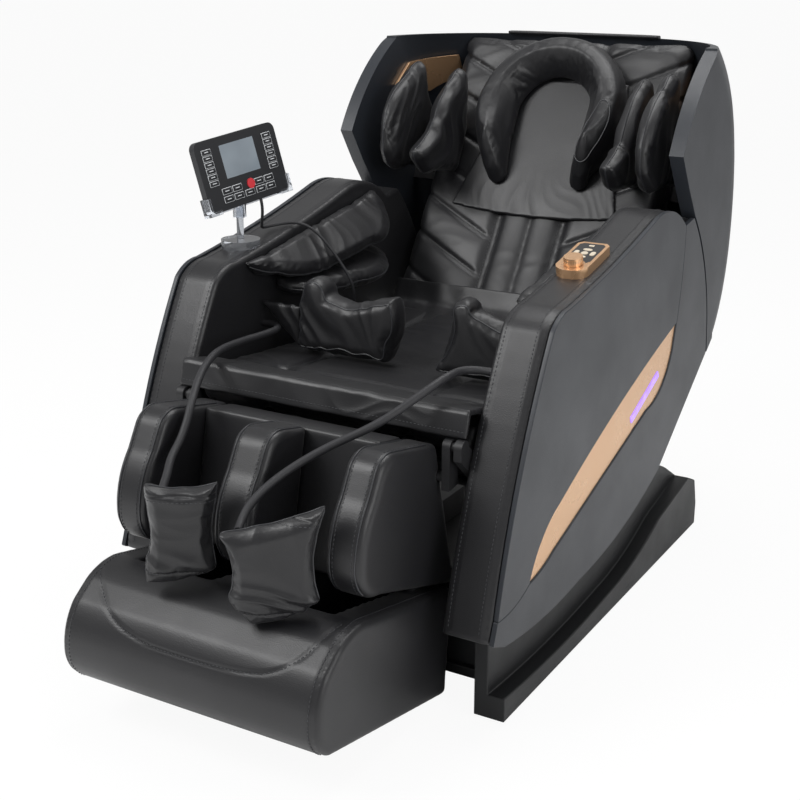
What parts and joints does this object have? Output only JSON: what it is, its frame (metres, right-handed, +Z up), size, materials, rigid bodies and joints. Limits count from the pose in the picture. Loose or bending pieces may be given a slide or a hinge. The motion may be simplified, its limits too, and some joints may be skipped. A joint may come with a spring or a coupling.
{
  "type": "massage chair",
  "caption": "Reclining massage chair on a rocking base: padded arms, roller back with pillow, swinging leg rest with foot wells, arm controller and tablet",
  "frame": {"origin": "On the floor, under the middle of the chair's overall length and width", "axes": "+Z up, -Y towards the chair's front (the side the feet point to), +X towards the sitter's left"},
  "size_m": [0.8004, 1.5766, 1.0823],
  "materials": {
    "leather": "soft semi-gloss near-black leatherette with fine grain",
    "side_panel": "satin charcoal with a bluish sheen",
    "base_plastic": "satin black moulding",
    "rose_gold": "polished rose gold",
    "light": "translucent violet light strip",
    "frame_steel": "black powder coat",
    "bright_steel": "ground rod",
    "motor_case": "cast, satin",
    "rubber": "matte",
    "hose": "matte black sleeve",
    "electronics": "moulded box",
    "clear": "smoky clear plastic",
    "tablet_grey": "satin dark grey",
    "screen": "backlit grey display",
    "red": "glossy red",
    "cream": "pearl cream key",
    "roller": "satin roller"
  },
  "bodies": {
    "base": {"base_rail_left": "base_plastic", "base_rail_right": "base_plastic", "front_panel": "base_plastic", "base_frame": "frame_steel", "rubber_feet": "rubber", "power_inlet": "base_plastic", "control_box": "electronics", "air_pump": "electronics", "tilt_motor": "motor_case"},
    "power_switch": {"power_switch": "base_plastic"},
    "seat": {"seat_frame": "frame_steel", "leg_motor": "motor_case", "recline_motor": "motor_case", "arm_pad_left": "leather", "arm_pad_right": "leather", "arm_panel_left": "side_panel", "arm_panel_right": "side_panel", "lower_panels": "side_panel", "trim_blades": "rose_gold", "trim_lights": "light", "seat_cushion": "leather", "seat_curtain": "leather", "hip_airbags": "leather", "arm_airbags": "leather", "controller_housing": "rose_gold", "tablet_stand": "clear", "tablet_cable": "hose", "pouch_hose_right": "hose", "pouch_hose_left": "hose"},
    "back": {"back_shell": "side_panel", "back_pad": "leather", "back_frame": "frame_steel", "pillow": "leather", "pillow_mat": "leather", "speaker_panels": "rose_gold", "shoulder_airbags": "leather", "top_strap": "leather"},
    "carriage": {"massage_carriage": "frame_steel"},
    "roller_left": {"massage_roller_left": "roller"},
    "roller_right": {"massage_roller_right": "roller"},
    "legrest": {"leg_frame": "frame_steel", "calf_back": "leather", "calf_walls": "leather", "foot_pouches": "leather"},
    "footbox": {"foot_box": "leather"},
    "sole_roller": {"sole_roller": "roller"},
    "tilt_rod": {"tilt_rod": "bright_steel"},
    "recline_rod": {"recline_rod": "bright_steel"},
    "leg_rod": {"leg_rod": "bright_steel"},
    "tablet": {"tablet_cradle": "clear", "tablet_case": "tablet_grey", "tablet_screen": "screen"},
    "tablet_power": {"tablet_power": "red"},
    "knob": {"controller_knob": "rose_gold"},
    "key_back": {"key_back": "cream"},
    "key_front": {"key_front": "cream"},
    "key_left": {"key_left": "cream"},
    "key_right": {"key_right": "cream"},
    "key_start": {"key_start": "cream"},
    "key_heat": {"key_heat": "cream"}
  },
  "joints": [
    {"name": "seat_tilt", "type": "hinge", "parent": "base", "child": "seat", "pos_m": [0, 0.396, 0.28], "axis": [-1, 0, 0], "range_deg": [0, 15]},
    {"name": "tilt_drive", "type": "slide", "parent": "base", "child": "tilt_rod", "axis": [0, 0.2692, 0.9631], "range_m": [0, 0.1575]},
    {"name": "back_recline", "type": "hinge", "parent": "seat", "child": "back", "pos_m": [0, 0.226, 0.4], "axis": [-1, 0, 0], "range_deg": [0, 35]},
    {"name": "recline_drive", "type": "slide", "parent": "seat", "child": "recline_rod", "axis": [0, -1, 0], "range_m": [0, 0.0545]},
    {"name": "leg_lift", "type": "hinge", "parent": "seat", "child": "legrest", "pos_m": [0, -0.392, 0.485], "axis": [-1, 0, 0], "range_deg": [0, 75], "deforming": ["pouch_hose_left", "pouch_hose_right"]},
    {"name": "leg_drive", "type": "slide", "parent": "seat", "child": "leg_rod", "axis": [0, -1, 0], "range_m": [0, 0.11]},
    {"name": "foot_extension", "type": "slide", "parent": "legrest", "child": "footbox", "axis": [0, -0.2079, -0.9781], "range_m": [0, 0.1205]},
    {"name": "carriage_slide", "type": "slide", "parent": "back", "child": "carriage", "axis": [0, 0.4817, 0.8763], "range_m": [0, 0.305]},
    {"name": "massage_roller_left_spin", "type": "hinge", "parent": "carriage", "child": "roller_left", "pos_m": [0.07, 0.5288, 0.575], "axis": [1, 0, 0], "continuous": true},
    {"name": "massage_roller_right_spin", "type": "hinge", "parent": "carriage", "child": "roller_right", "pos_m": [-0.07, 0.5288, 0.575], "axis": [1, 0, 0], "continuous": true},
    {"name": "sole_roller_spin", "type": "hinge", "parent": "footbox", "child": "sole_roller", "pos_m": [0, -0.5, 0.078], "axis": [1, 0, 0], "continuous": true},
    {"name": "knob_turn", "type": "hinge", "parent": "seat", "child": "knob", "pos_m": [0.34, -0.0633, 0.7384], "axis": [0, -0.1994, 0.9799], "range_deg": [-150, 150]},
    {"name": "tablet_swivel", "type": "hinge", "parent": "seat", "child": "tablet", "pos_m": [-0.35, -0.124, 0.79], "axis": [0, 0, 1], "range_deg": [-60, 60], "deforming": ["tablet_cable"]},
    {"name": "tablet_power_press", "type": "slide", "parent": "tablet", "child": "tablet_power", "axis": [-0.9584, 0.169, -0.2301], "range_m": [0, 0.001], "stiffness_N_per_m": 300, "springref_m": -0.001},
    {"name": "power_switch_rock", "type": "hinge", "parent": "base", "child": "power_switch", "pos_m": [-0.133, 0.495, 0.065], "axis": [1, 0, 0], "range_deg": [0, 8]},
    {"name": "key_back_press", "type": "slide", "parent": "seat", "child": "key_back", "axis": [0, 0.1994, -0.9799], "range_m": [0, 0.001], "stiffness_N_per_m": 200, "springref_m": -0.001},
    {"name": "key_front_press", "type": "slide", "parent": "seat", "child": "key_front", "axis": [0, 0.1994, -0.9799], "range_m": [0, 0.001], "stiffness_N_per_m": 200, "springref_m": -0.001},
    {"name": "key_left_press", "type": "slide", "parent": "seat", "child": "key_left", "axis": [0, 0.1994, -0.9799], "range_m": [0, 0.001], "stiffness_N_per_m": 200, "springref_m": -0.001},
    {"name": "key_right_press", "type": "slide", "parent": "seat", "child": "key_right", "axis": [0, 0.1994, -0.9799], "range_m": [0, 0.001], "stiffness_N_per_m": 200, "springref_m": -0.001},
    {"name": "key_start_press", "type": "slide", "parent": "seat", "child": "key_start", "axis": [0, 0.1994, -0.9799], "range_m": [0, 0.001], "stiffness_N_per_m": 200, "springref_m": -0.001},
    {"name": "key_heat_press", "type": "slide", "parent": "seat", "child": "key_heat", "axis": [0, 0.1994, -0.9799], "range_m": [0, 0.001], "stiffness_N_per_m": 200, "springref_m": -0.001}
  ],
  "couplings": [
    {"joint": "tilt_drive", "follows": "seat_tilt", "m_per_rad": 0.6003},
    {"joint": "recline_drive", "follows": "back_recline", "m_per_rad": 0.0886},
    {"joint": "leg_drive", "follows": "leg_lift", "m_per_rad": 0.0837},
    {"joint": "foot_extension", "follows": "leg_lift", "m_per_rad": 0.09167}
  ]
}
